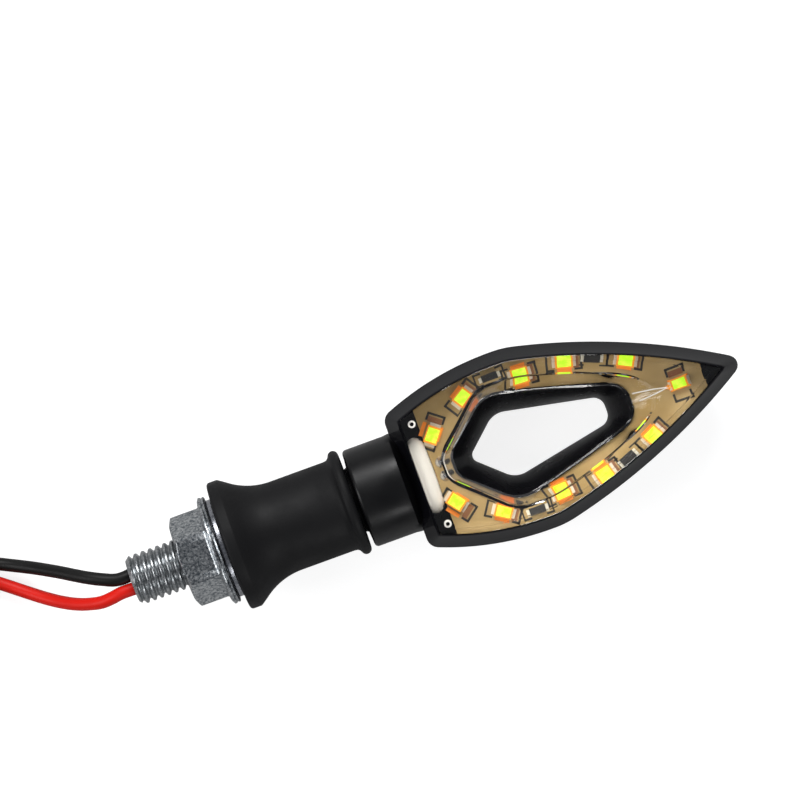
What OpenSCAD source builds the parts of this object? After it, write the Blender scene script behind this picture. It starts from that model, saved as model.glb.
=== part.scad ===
// Motorcycle turn signal indicator: an arrow-shaped lamp head with a hole through it, on a
// short rubber stalk with a hollow threaded stud, a washer and a flange nut.
// X runs along the stalk to the tip, Z points out of the lens, and the origin is on the stud's
// axis where the stalk's flat foot meets the bracket. The part lies on its back.

/* [Stud and nut] */
// Crest diameter of the stud's thread
stud_d = 10; // [8:0.5:12]
// Stud length outside the stalk's foot
stud_free = 20; // [17:0.5:26]
// Room left round the two leads in the bore through the stud
lead_room = 0.4; // [0.2:0.05:0.6]
// Diameter of the anchor disc moulded into the rubber
anchor_d = 19; // [15:0.5:21]
// Thickness of the anchor disc
anchor_t = 2; // [1.5:0.1:2.4]
// Outside diameter of the flat washer
washer_d = 20; // [16:0.5:24]
// Thickness of the flat washer
washer_t = 1.3; // [0.8:0.1:2]
// Width of the nut across its flats
nut_flats = 16; // [14:0.5:18]
// Diameter of the nut's flange
nut_flange_d = 22; // [19:0.5:24]
// Thickness of the nut's flange
nut_flange_t = 1.6; // [1.2:0.1:2.4]
// Height of the nut with its flange
nut_h = 8.3; // [6:0.1:9]

/* [Rubber stalk] */
// Diameter of the stalk's foot
foot_d = 26.2; // [24:0.2:34]
// Length of the foot's straight rim
foot_rim = 2.6; // [1.5:0.1:4]
// Diameter of the stalk's slim middle
waist_d = 18.4; // [16.6:0.2:20]
// Distance from the foot to where the slim middle starts
flare_length = 12; // [8:0.5:14]
// Length of the stalk
stalk_length = 26.3; // [24:0.1:34]
// Diameter of the bead round the stalk's outer end
bead_d = 21.4; // [20.2:0.2:24]
// Width of that bead
bead_w = 2; // [1:0.1:3]

/* [Neck] */
// Gap between the stalk's end and the head's collar
groove = 0.8; // [0.4:0.1:1.5]
// Length of the collar
collar_length = 9.9; // [6:0.1:14]
// Diameter of the collar
collar_d = 20; // [17:0.2:20]
// Diameter of the spigot that the stalk grips
spigot_d = 13; // [11:0.2:14]
// Length of the spigot inside the stalk
spigot_length = 7.5; // [6:0.1:9]
// How far the spigot's barb stands out
barb = 0.9; // [0.4:0.1:1.2]

/* [Head] */
// Length of the head, from its stem face to where its two sides would meet
head_length = 70.6; // [64:0.2:85]
// Widest part of the head
head_width = 36.6; // [33:0.2:44]
// Width of the flat stem face
stem_width = 27; // [24:0.2:30]
// Height of the lens's flat face above the stud's axis
lens_front = 10; // [9:0.1:13]
// Depth of the housing behind the stud's axis
head_back = 13.1; // [12:0.1:16]
// Height of the joint between lens and housing above the stud's axis
split_z = 4; // [3.4:0.1:4.6]
// Inset of the lens's flat face from the outline
lens_bevel = 2.5; // [1.5:0.1:3.5]
// Inset of the housing's flat back from the outline
back_bevel = 6.4; // [4:0.1:7]
// Wall thickness of the housing
housing_wall = 1.9; // [1.5:0.1:2.4]
// Thickness of the lens
lens_wall = 1.5; // [1.2:0.1:2]

/* [Hole through the head] */
// Distance from the stem face to the narrowest section's stem end
hole_start = 13.3; // [13:0.1:16]
// Length of the narrowest section
hole_length = 28.7; // [24:0.1:34]
// Width of the narrowest section between its rounded corners
hole_width = 13.6; // [10:0.1:14]
// Height of the narrowest section, measured from the stud's axis
waist_z = -6; // [-9:0.5:-3]
// Wall thickness round the hole
hole_wall = 1.2; // [0.9:0.1:1.6]

/* [Light board] */
// Thickness of the circuit board
board_t = 1.6; // [1:0.1:1.8]
// Length of one light-emitting diode
led_l = 3.5; // [2.8:0.1:3.6]
// Width of one light-emitting diode
led_w = 2.8; // [2:0.1:3]
// Height of one light-emitting diode
led_h = 0.9; // [0.6:0.1:1.4]
// Length of one chip resistor
chip_l = 3.2; // [2:0.1:3.4]
// Width of one chip resistor
chip_w = 1.6; // [1:0.1:1.8]

/* [Leads] */
// Outside diameter of one lead
lead_d = 2.6; // [2:0.1:2.7]
// Outside diameter of one bullet terminal's sleeve
sleeve_d = 4.4; // [4:0.1:5]
// Length of one bullet terminal's sleeve
sleeve_l = 9; // [7:0.5:10]
// Diameter of one bullet terminal's pin
bullet_d = 3.9; // [3:0.1:4]
// Length of the pin that shows
bullet_l = 7; // [5:0.5:8]

/* [Hidden] */
$fn = 96;

slice_t = 0.02;          // thickness of the sections that a loft joins
over = 1;                // how far a cutter runs past the face it cuts
fit = 0.05;              // clearance of a push fit
run = 0.05;              // running clearance of the nut and the washer
step = 2.6;              // longest facet along an outline
turn = 15;               // largest angle between two facets of a corner
chamfer = 0.8;           // chamfer on the stud's end and the nut
relief_w = 0.5;          // groove in the stud where its free end goes into the nut
relief_depth = 0.3;
lead_gap = 0.2;          // gap between the two leads in the stud

nut_face_x = -washer_t - nut_h;
lead_y = (lead_d + lead_gap) / 2;
bore_d = 2 * (lead_d + lead_room) + lead_gap;
stem_x = stalk_length + groove + collar_length;
spigot_x = stalk_length - spigot_length;
stud_inside = spigot_x - 10.8;
back_z = -head_back;
floor_z = -max(foot_d / 2, head_back);
board_top = split_z - 0.8;
board_low = board_top - board_t;
ledge_w = 1.6;
ledge_t = 1.2;
rim_clearance = 0.3;
hole_clearance = 0.2;
edge_play = 0.3;

// ---- outlines: each corner is [x, y, radius], and the upper half is mirrored ----

function mirrored(c) = concat(c,
    [for (i = [len(c) - 1 : -1 : 0]) if (c[i][1] > 0) [c[i][0], -c[i][1], c[i][2]]]);
function flat(c) = [c[0], c[1]];
function unit(v) = v / norm(v);
function corner_angle(a, p, b) = acos(unit(a - p) * unit(b - p));
function wanted(c, i) = let (n = len(c), p = flat(c[i]))
    c[i][2] / tan(corner_angle(flat(c[(i + n - 1) % n]), p, flat(c[(i + 1) % n])) / 2);
function share(c, i, j) = norm(flat(c[i]) - flat(c[j])) / (wanted(c, i) + wanted(c, j));
function corner_points(c, i) = let (
    n = len(c),
    p = flat(c[i]),
    u = unit(flat(c[(i + n - 1) % n]) - p),
    v = unit(flat(c[(i + 1) % n]) - p),
    half = acos(u * v) / 2,
    cut = wanted(c, i) * min(1, share(c, i, (i + n - 1) % n), share(c, i, (i + 1) % n)),
    r = cut * tan(half),
    mid = p + unit(u + v) * r / sin(half),
    a = p + u * cut - mid,
    b = p + v * cut - mid,
    from = atan2(a[1], a[0]),
    sweep = (atan2(b[1], b[0]) - from + 540) % 360 - 180,
    parts = max(2, ceil(abs(sweep) / turn), ceil(abs(sweep) * r * PI / 180 / step)))
    [for (k = [0 : parts]) mid + r * [cos(from + sweep * k / parts), sin(from + sweep * k / parts)]];
function rounded(c) = [for (i = [0 : len(c) - 1]) each corner_points(c, i)];

head_line = rounded(mirrored([
    [stem_x, stem_width / 2, 2.5],
    [stem_x + 0.18 * head_length, head_width / 2, 60],
    [stem_x + 0.377 * head_length, head_width / 2, 20],
    [stem_x + 0.707 * head_length, 0.348 * head_width, 130],
    [stem_x + head_length, 0, 2]]));

hole_x = stem_x + hole_start;
waist_line = rounded(mirrored([
    [hole_x, 0, 1.5],
    [hole_x + 0.26 * hole_length, hole_width / 2, 4.5],
    [hole_x + hole_length, 0.19 * hole_width, 2.4]]));

// The hole widens from the narrowest section to the lens's inner edge and on to its flat face,
// and to the housing's back.
rim_line = rounded(mirrored([
    [hole_x - 3, 2.2, 3],
    [hole_x + 0.23 * hole_length, hole_width / 2 + 3.9, 6],
    [hole_x + hole_length + 3.8, 0.19 * hole_width + 1.1, 3.5]]));
face_line = rounded(mirrored([
    [hole_x - 5.1, 2, 3],
    [hole_x + 0.2 * hole_length, hole_width / 2 + 5.4, 7],
    [hole_x + 0.47 * hole_length, hole_width / 2 + 5.6, 20],
    [hole_x + 1.05 * hole_length, hole_width / 2 + 0.8, 60],
    [hole_x + hole_length + 12.8, 0, 0.4]]));
back_line = rounded(mirrored([
    [hole_x - 5.8, 0, 1.5],
    [hole_x + 0.2 * hole_length, hole_width / 2 + 2, 6],
    [hole_x + hole_length + 1.5, 0.19 * hole_width + 0.8, 3]]));

// Half-width of an outline at a given distance along the head, or 0 outside it.
function half_width(line, x) = max([0, for (i = [0 : len(line) - 1])
    let (a = line[i], b = line[(i + 1) % len(line)])
    if (min(a[0], b[0]) <= x && x <= max(a[0], b[0]) && a[0] != b[0])
        a[1] + (b[1] - a[1]) * (x - a[0]) / (b[0] - a[0])]);

module section(line, z, grow) {
    translate([0, 0, z]) linear_extrude(slice_t) offset(delta = grow) polygon(line);
}

module loft(low_line, low_z, low_grow, high_line, high_z, high_grow) {
    hull() {
        section(low_line, low_z, low_grow);
        section(high_line, high_z - slice_t, high_grow);
    }
}

// A round bar or bore along X, from one x to another.
module along(x_from, x_to, d) {
    translate([x_from, 0, 0]) rotate([0, 90, 0]) cylinder(h = x_to - x_from, d = d);
}

// A solid of revolution about X from [x, radius] points.
module turned(points) {
    rotate([0, 90, 0]) rotate_extrude() polygon([for (p = points) [p[1], p[0]]]);
}

// ---- stud, stalk, washer and nut ----

module hollow_stud() {
    color("silver") difference() {
        union() {
            turned([[-stud_free, 0], [-stud_free, stud_d / 2 - chamfer],
                [-stud_free + chamfer, stud_d / 2], [stud_inside, stud_d / 2], [stud_inside, 0]]);
            along(anchor_t, 2 * anchor_t, anchor_d);
        }
        along(-stud_free - over, stud_inside + over, bore_d);
        difference() {
            along(nut_face_x, nut_face_x + relief_w, stud_d + over);
            along(nut_face_x - over, nut_face_x + relief_w + over, stud_d - 2 * relief_depth);
        }
    }
}

// The foot's flare is a circular arc that meets the slim middle without a corner.
function flare(n) = let (
    drop = (foot_d - waist_d) / 2,
    reach = flare_length - foot_rim,
    r = (reach * reach + drop * drop) / (2 * drop),
    top = asin(reach / r))
    [for (i = [0 : n]) let (a = top * (1 - i / n))
        [flare_length - r * sin(a), waist_d / 2 + r * (1 - cos(a))]];

module stalk_outside() {
    bead_r = bead_d / 2;
    turned(concat([[0, 0], [0, foot_d / 2 - 0.4], [0.4, foot_d / 2]], flare(12), [
        [stalk_length - bead_w - 0.6, waist_d / 2],
        [stalk_length - bead_w, bead_r - 0.5],
        [stalk_length - bead_w + 0.5, bead_r],
        [stalk_length - 0.4, bead_r],
        [stalk_length, bead_r - 0.4],
        [stalk_length, 0]]));
}

module rubber_stalk() {
    color([0.08, 0.08, 0.09]) difference() {
        stalk_outside();
        along(-over, stud_inside, stud_d + 2 * fit);
        along(anchor_t - fit, 2 * anchor_t + fit, anchor_d + 2 * fit);
        along(0, stalk_length, bore_d);
        along(spigot_x - fit, stalk_length + over, spigot_d + 2 * fit);
        along(spigot_x + barb_x - fit, spigot_x + barb_x + barb_w + fit, spigot_d + 2 * (barb + fit));
    }
}
barb_x = 1.2;
barb_w = 2;

module flat_washer() {
    color("gray") difference() {
        along(-washer_t, 0, washer_d);
        along(-washer_t - over, over, stud_d + 0.5);
    }
}

module flange_nut() {
    corner_d = nut_flats / cos(30);
    color("silver") difference() {
        union() {
            along(-washer_t - nut_flange_t, -washer_t, nut_flange_d);
            intersection() {
                translate([nut_face_x, 0, 0]) rotate([0, 90, 0])
                    cylinder(h = nut_h - nut_flange_t, d = corner_d, $fn = 6);
                turned([[nut_face_x, 0], [nut_face_x, nut_flats / 2 - 0.2], [nut_face_x + chamfer, corner_d / 2],
                    [-washer_t, corner_d / 2], [-washer_t, 0]]);
            }
        }
        along(nut_face_x - over, 0, stud_d + 2 * run);
    }
}

// ---- head ----

module rear_housing() {
    inside = housing_wall;
    color([0.1, 0.1, 0.11]) difference() {
        union() {
            difference() {
                hull() {
                    section(head_line, split_z - slice_t, 0);
                    section(head_line, -2, -0.3);
                    section(head_line, back_z + 2.4, -0.72 * back_bevel);
                    section(head_line, back_z, -back_bevel);
                }
                translate([0, 0, board_low]) linear_extrude(split_z) offset(delta = -inside) polygon(head_line);
                translate([0, 0, board_low - ledge_t - slice_t]) linear_extrude(split_z)
                    offset(delta = -inside - ledge_w) polygon(head_line);
                loft(head_line, back_z + housing_wall, -back_bevel - inside,
                    head_line, board_low - ledge_t, -inside - 0.4);
            }
            loft(waist_line, waist_z - slice_t, hole_wall, rim_line, split_z, hole_wall);
            loft(back_line, back_z, hole_wall, waist_line, waist_z, hole_wall);
            along(stem_x - collar_length, stem_x, collar_d);
            intersection() {
                along(stem_x - over, stem_x + inside, collar_d);
                translate([0, -collar_d, back_z]) cube([2 * stem_x, 2 * collar_d, board_low - back_z]);
            }
            along(spigot_x, stem_x, spigot_d);
            along(spigot_x + barb_x, spigot_x + barb_x + barb_w, spigot_d + 2 * barb);
        }
        loft(waist_line, waist_z - slice_t, 0, rim_line, split_z + slice_t, 0);
        loft(back_line, back_z - slice_t, 0, waist_line, waist_z, 0);
        along(spigot_x - over, stem_x + inside + ledge_w + over, bore_d);
        gasket_ring(0);
    }
}

gasket_w = 0.9;
gasket_in = 0.5;
gasket_h = 0.7;

module gasket_ring(play) {
    translate([0, 0, split_z - gasket_h + play]) linear_extrude(gasket_h + (play > 0 ? -2 * play : over))
        difference() {
            offset(delta = -gasket_in - play) polygon(head_line);
            offset(delta = -gasket_in - gasket_w + play) polygon(head_line);
        }
}

module lens_gasket() {
    color([0.15, 0.15, 0.15]) gasket_ring(fit);
}

module lens() {
    cavity_top = lens_front - lens_wall;
    color([0.75, 0.72, 0.68, 0.35]) difference() {
        loft(head_line, split_z, 0, head_line, lens_front, -lens_bevel);
        difference() {
            loft(head_line, split_z - slice_t, -housing_wall,
                head_line, cavity_top, -lens_bevel - 0.8);
            loft(rim_line, split_z - 2 * slice_t, hole_wall, face_line, lens_front, hole_wall);
        }
        loft(rim_line, split_z - slice_t, 0, face_line, lens_front + slice_t, 0);
    }
}

// ---- light board ----

board_stem_x = stem_x + 6;
board_tip_x = stem_x + 0.874 * head_length;
joint_x = board_stem_x + 1.7;

module circuit_board() {
    color([0.72, 0.6, 0.3]) difference() {
        translate([0, 0, board_low]) linear_extrude(board_t) difference() {
            intersection() {
                offset(delta = -housing_wall - rim_clearance) polygon(head_line);
                translate([board_stem_x, -head_width]) square([board_tip_x - board_stem_x, 2 * head_width]);
            }
            offset(delta = hole_wall + hole_clearance) polygon(rim_line);
        }
        for (side = [-1, 1]) translate([joint_x, side * lead_y, board_low - over])
            cylinder(h = board_t + 2 * over, d = 1.2);
    }
}

// Places along the head as a share of its length, then across from the hole's edge to the
// board's outer edge, then the turn of the part on the board.
led_places = [[0.113, 0.49, 52], [0.227, 0.45, 33], [0.397, 0.4, -4], [0.524, 0.72, -14],
    [0.686, 0.84, -27]];
tip_led = 0.804;
chip_places = [[0.316, 0.5, 2], [0.6, 0.78, -22]];

function place(p) = let (
    x = stem_x + p[0] * head_length,
    inner = half_width(rim_line, x),
    low = inner > 0 ? inner + hole_wall + hole_clearance : 0,
    high = half_width(head_line, x) - housing_wall - rim_clearance)
    [x, low + p[1] * (high - low), p[2]];

module mirrored_places(places) {
    for (p = places, side = [-1, 1])
        translate([place(p)[0], side * place(p)[1], board_top]) rotate([0, 0, side * place(p)[2]]) children();
}

module led_spots() {
    mirrored_places(led_places) children();
    translate([stem_x + tip_led * head_length, 0, board_top]) children();
}

module block(l, w, z, h) {
    translate([-l / 2, -w / 2, z]) cube([l, w, h]);
}

window_l = 0.76 * led_l;
window_w = 0.8 * led_w;
window_t = 0.3;
pad_l = 0.6;
pad_h = 0.2;

module led_bodies() {
    color("ivory") led_spots() difference() {
        block(led_l, led_w, 0, led_h);
        block(window_l, window_w, led_h - window_t, window_t + over);
    }
}

module led_windows() {
    color([0.85, 0.9, 0.2]) led_spots() block(window_l, window_w, led_h - window_t, window_t);
}

module end_pads(l, w) {
    for (side = [-1, 1]) translate([side * (l + pad_l) / 2, 0, 0]) block(pad_l, w, 0, pad_h);
}

module solder_pads() {
    color("lightgray") {
        led_spots() end_pads(led_l, 0.8 * led_w);
        mirrored_places(chip_places) end_pads(chip_l, 0.8 * chip_w);
    }
}

module resistors() {
    color([0.12, 0.1, 0.1]) mirrored_places(chip_places) block(chip_l, chip_w, 0, 0.6);
}

module lead_joints() {
    color("lightgray") for (side = [-1, 1]) translate([joint_x, side * lead_y, 0]) {
        translate([0, 0, lead_d / 2]) cylinder(h = board_top - lead_d / 2, d = 1.1);
        translate([0, 0, board_top]) cylinder(h = 0.8, d1 = 2.2, d2 = 0.9);
    }
}

module board_adhesive() {
    bead_x = (stem_x + housing_wall + board_stem_x) / 2;
    bead_w = board_stem_x - stem_x - housing_wall - 2 * fit;
    color("whitesmoke") intersection() {
        hull() for (side = [-1, 1]) translate([bead_x, side * 5, board_low + 0.9])
            scale([1, 1.4, 0.9]) sphere(d = bead_w, $fn = 24);
        translate([bead_x, 0, board_low]) block(bead_w, stem_width, 0, lens_front);
    }
}

module wire_seal() {
    color("whitesmoke") difference() {
        along(stem_x - 4, stem_x, bore_d - 2 * fit);
        for (side = [-1, 1]) translate([0, side * lead_y, 0]) along(stem_x - 5, stem_x + over, lead_d + 2 * fit);
    }
}

// ---- leads ----

module inner_lead(side) {
    translate([0, side * lead_y, 0]) along(-stud_free, joint_x + 0.8, lead_d);
}

module inner_red_lead() {
    color("red") inner_lead(-1);
}

module inner_black_lead() {
    color("black") inner_lead(1);
}

// Each ring of a swept tube stands square to the way from the point before to the point after.
function heading(pts, i) = unit(pts[min(i + 1, len(pts) - 1)] - pts[max(i - 1, 0)]);
function ring(pts, i, r, sides) = let (
    t = heading(pts, i),
    across = unit(cross([0, 0, 1], t)),
    up = cross(t, across))
    [for (k = [0 : sides - 1]) pts[i] + r * (across * cos(360 * k / sides) + up * sin(360 * k / sides))];

module tube(pts, d) {
    sides = 8;
    last = len(pts) - 1;
    polyhedron(
        points = [for (i = [0 : last]) each ring(pts, i, d / 2, sides)],
        faces = concat(
            [[for (k = [0 : sides - 1]) k]],
            [for (i = [0 : last - 1], k = [0 : sides - 1]) let (n = (k + 1) % sides)
                [i * sides + k, (i + 1) * sides + k, (i + 1) * sides + n, i * sides + n]],
            [[for (k = [sides - 1 : -1 : 0]) last * sides + k]]));
}

tie_t = 0.8;
tie_w = 3;
coil_at = [-67, 4];
coil_base = floor_z + tie_t;
coil_h = 6.5;
red_r = 13;
black_r = red_r + lead_d;
lay_z = floor_z + lead_d / 2 + 0.1;
coil_z = coil_base + lead_d / 2;

red_route = [[-stud_free, -lead_y, 0], [-23, -lead_y, 0], [-27, -1.8, -1.2], [-32, -0.6, -4.6],
    [-37, 2, -8.6], [-42, 5.6, -11], [-47, 9.4, lay_z], [-53, 13.2, lay_z], [-60, 15.9, coil_z],
    [coil_at[0] + 0.1, coil_at[1] + red_r, coil_z]];
black_route = [[-stud_free, lead_y, 0], [-23, lead_y, 0], [-28, 3.6, -1.2], [-33, 6.4, -4.6],
    [-38, 9, -8.6], [-43, 11.4, -11], [-48, 13.8, lay_z], [-54, 16.6, lay_z], [-60, 18.8, coil_z],
    [coil_at[0] + 0.1, coil_at[1] + black_r, coil_z]];

module red_lead() {
    color("red") tube(red_route, lead_d);
}

module black_lead() {
    color("black") tube(black_route, lead_d);
}

module coil(r) {
    translate([coil_at[0], coil_at[1], coil_base]) rotate_extrude()
        translate([r - lead_d / 2, 0]) square([lead_d, coil_h]);
}

module red_coil() {
    color("red") coil(red_r);
}

module black_coil() {
    color("black") coil(black_r);
}

// The tie is a flat band round the two coils' section, on the side towards the object.
module coil_tie() {
    in_r = red_r - lead_d / 2 - 0.1;
    out_r = black_r + lead_d / 2 + 0.1;
    color("white") translate([coil_at[0], coil_at[1], floor_z]) rotate([0, 0, -20]) difference() {
        translate([in_r - tie_t, -tie_w / 2, 0])
            cube([out_r - in_r + 2 * tie_t, tie_w, coil_h + 2 * tie_t + 0.1]);
        translate([in_r - 0.1, -tie_w / 2 - over, tie_t])
            cube([out_r - in_r + 0.2, tie_w + 2 * over, coil_h + 0.1]);
    }
}

// Each lead ends on top of the coil in a bullet terminal, which lies along the turns.
module on_coil(r, angle) {
    translate([coil_at[0], coil_at[1], coil_base + coil_h + sleeve_d / 2 + 0.1])
        rotate([0, 0, angle]) translate([r, 0, 0]) rotate([0, 0, 90]) children();
}

module sleeve() {
    difference() {
        along(0, sleeve_l, sleeve_d);
        along(-over, sleeve_l - 2, lead_d + 0.1);
        along(sleeve_l - 2 - over, sleeve_l + over, bullet_d + 0.1);
    }
}

module bullet() {
    turned([[sleeve_l - 2, 0], [sleeve_l - 2, bullet_d / 2], [sleeve_l + bullet_l - 1.2, bullet_d / 2],
        [sleeve_l + bullet_l - 0.3, bullet_d / 2 - 0.7], [sleeve_l + bullet_l, bullet_d / 2 - 1.4],
        [sleeve_l + bullet_l, 0]]);
}

red_end = [red_r, 234];
black_end = [black_r + 1.2, 92];

module red_sleeve() {
    color("whitesmoke") on_coil(red_end[0], red_end[1]) sleeve();
}

module black_sleeve() {
    color("whitesmoke") on_coil(black_end[0], black_end[1]) sleeve();
}

module red_bullet() {
    color("goldenrod") on_coil(red_end[0], red_end[1]) bullet();
}

module black_bullet() {
    color("goldenrod") on_coil(black_end[0], black_end[1]) bullet();
}

hollow_stud();
rubber_stalk();
flat_washer();
flange_nut();
rear_housing();
lens();
lens_gasket();
circuit_board();
led_bodies();
led_windows();
solder_pads();
resistors();
lead_joints();
board_adhesive();
wire_seal();
inner_red_lead();
inner_black_lead();
red_lead();
black_lead();
red_coil();
black_coil();
coil_tie();
red_sleeve();
black_sleeve();
red_bullet();
black_bullet();
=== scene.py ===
import math

import bmesh
import bpy
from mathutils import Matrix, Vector


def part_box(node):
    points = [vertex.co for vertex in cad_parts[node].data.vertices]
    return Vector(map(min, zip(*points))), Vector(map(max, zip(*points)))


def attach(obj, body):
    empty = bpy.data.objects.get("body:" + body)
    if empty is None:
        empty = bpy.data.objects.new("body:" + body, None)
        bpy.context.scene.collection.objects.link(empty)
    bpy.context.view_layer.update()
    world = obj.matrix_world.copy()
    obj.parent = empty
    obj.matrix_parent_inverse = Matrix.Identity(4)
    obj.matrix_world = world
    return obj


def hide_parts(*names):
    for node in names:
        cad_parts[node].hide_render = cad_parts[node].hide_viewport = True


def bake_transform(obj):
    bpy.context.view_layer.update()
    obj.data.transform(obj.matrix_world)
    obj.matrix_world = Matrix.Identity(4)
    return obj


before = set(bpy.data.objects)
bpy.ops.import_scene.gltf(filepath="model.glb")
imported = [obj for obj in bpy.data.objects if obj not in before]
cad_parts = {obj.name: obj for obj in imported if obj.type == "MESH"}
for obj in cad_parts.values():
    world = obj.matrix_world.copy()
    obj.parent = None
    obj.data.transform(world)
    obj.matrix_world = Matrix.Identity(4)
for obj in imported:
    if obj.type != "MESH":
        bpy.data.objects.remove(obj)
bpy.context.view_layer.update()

MM = 0.001

# ---- Camera, light and floor -------------------------------------------------------------
# The lamp lies on its back on a white table and is seen from straight above, turned a little,
# under three broad soft lights and a dim sky, so that the clear lens stays readable.

FLOOR_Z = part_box("rubber_stalk")[0][2]
TURN = math.radians(-20.0)
VIEW_MID = (0.0414, 0.0155)
VIEW_WIDTH = 0.1568
CAMERA_HEIGHT = 0.9
SENSOR_WIDTH = 36

camera_data = bpy.data.cameras.new("camera")
camera_data.sensor_width = SENSOR_WIDTH
camera_data.lens = SENSOR_WIDTH * CAMERA_HEIGHT / VIEW_WIDTH
camera_data.clip_start = 0.01
camera = bpy.data.objects.new("camera", camera_data)
camera.location = (*VIEW_MID, CAMERA_HEIGHT)
camera.rotation_euler = (0, 0, TURN)
bpy.context.collection.objects.link(camera)
bpy.context.scene.camera = camera


def soft_light(name, place, size, power, aim=(0.04, 0.0, 0.0)):
    """A rectangular area light in watts, turned to face the lamp."""
    data = bpy.data.lights.new(name, "AREA")
    data.shape = "RECTANGLE"
    data.size, data.size_y = size
    data.energy = power
    light = bpy.data.objects.new(name, data)
    light.location = place
    light.rotation_euler = (Vector(aim) - Vector(place)).to_track_quat("-Z", "Y").to_euler()
    bpy.context.collection.objects.link(light)


soft_light("upper_light", (0.16, 0.62, 0.55), (0.7, 0.25), 6)
soft_light("left_light", (-0.6, 0.1, 0.45), (0.25, 0.6), 2.5)
soft_light("lower_light", (0.2, -0.55, 0.4), (0.6, 0.15), 1.5)

world = bpy.data.worlds.new("studio")
world.use_nodes = True
world.node_tree.nodes["Background"].inputs["Color"].default_value = (0.9, 0.93, 1.0, 1)
world.node_tree.nodes["Background"].inputs["Strength"].default_value = 0.16
bpy.context.scene.world = world
bpy.context.scene.view_settings.view_transform = "Standard"


def new_material(name):
    """A material with its Principled shader, whose plain values are set on its own sockets."""
    mat = bpy.data.materials.new(name)
    mat.use_nodes = True
    return mat, mat.node_tree, mat.node_tree.nodes["Principled BSDF"]


def mesh_piece(name, verts, faces, mat, smooth=40):
    """A mesh object from points in metres, shaded smooth except at edges sharper than smooth degrees."""
    mesh = bpy.data.meshes.new(name)
    mesh.from_pydata([tuple(v) for v in verts], [], faces)
    bm = bmesh.new()
    bm.from_mesh(mesh)
    bmesh.ops.recalc_face_normals(bm, faces=bm.faces)
    bm.to_mesh(mesh)
    bm.free()
    mesh.shade_smooth()
    mesh.set_sharp_from_angle(angle=math.radians(smooth))
    mesh.materials.append(mat)
    piece = bpy.data.objects.new(name, mesh)
    bpy.context.collection.objects.link(piece)
    return piece


floor_mat, tree, shader = new_material("white_table")
paper = tree.nodes.new("ShaderNodeTexNoise")
paper.inputs["Scale"].default_value = 3
tone = tree.nodes.new("ShaderNodeMapRange")
tone.inputs["To Min"].default_value = 0.36
tone.inputs["To Max"].default_value = 0.4
tree.links.new(paper.outputs["Fac"], tone.inputs["Value"])
tree.links.new(tone.outputs["Result"], shader.inputs["Base Color"])
shader.inputs["Roughness"].default_value = 1
shader.inputs["Specular IOR Level"].default_value = 0
shader.inputs["Emission Color"].default_value = (1, 1, 1, 1)
seen = tree.nodes.new("ShaderNodeLightPath")
fill = tree.nodes.new("ShaderNodeMapRange")
fill.inputs["To Min"].default_value = 0.12
fill.inputs["To Max"].default_value = 0.85
tree.links.new(seen.outputs["Is Camera Ray"], fill.inputs["Value"])
tree.links.new(fill.outputs["Result"], shader.inputs["Emission Strength"])
HALF_TABLE = 2.0
TABLE_Z = FLOOR_Z - 0.03 * MM
SQUARE = ((-1, -1), (1, -1), (1, 1), (-1, 1))
table_top = mesh_piece("table_top", [(sx * HALF_TABLE, sy * HALF_TABLE, TABLE_Z) for sx, sy in SQUARE],
    [(0, 1, 2, 3)], floor_mat)

# ---- Red and black leads -----------------------------------------------------------------
# Two stranded copper leads in vinyl insulation, extruded. They leave the stud side by side, sink
# to the table and are wound into one small coil, tied, with a bullet terminal on each end.

LEAD_D = 2.6 * MM
red_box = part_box("inner_red_lead")
black_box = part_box("inner_black_lead")
LEAD_Y = (black_box[0][1] + black_box[1][1]) / 2
LAY_Z = FLOOR_Z + LEAD_D / 2 + 0.1 * MM
coil_low, coil_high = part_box("black_coil")
COIL_AT = ((coil_low[0] + coil_high[0]) / 2, (coil_low[1] + coil_high[1]) / 2)
COIL_Z = coil_low[2] + LEAD_D / 2
red_coil_low, red_coil_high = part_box("red_coil")
COIL_PLAY = 0.06 * MM
RED_R = (red_coil_high[0] - red_coil_low[0]) / 2 - LEAD_D / 2 - COIL_PLAY
BLACK_R = RED_R + LEAD_D
STUD_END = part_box("hollow_stud")[0][0]


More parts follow.
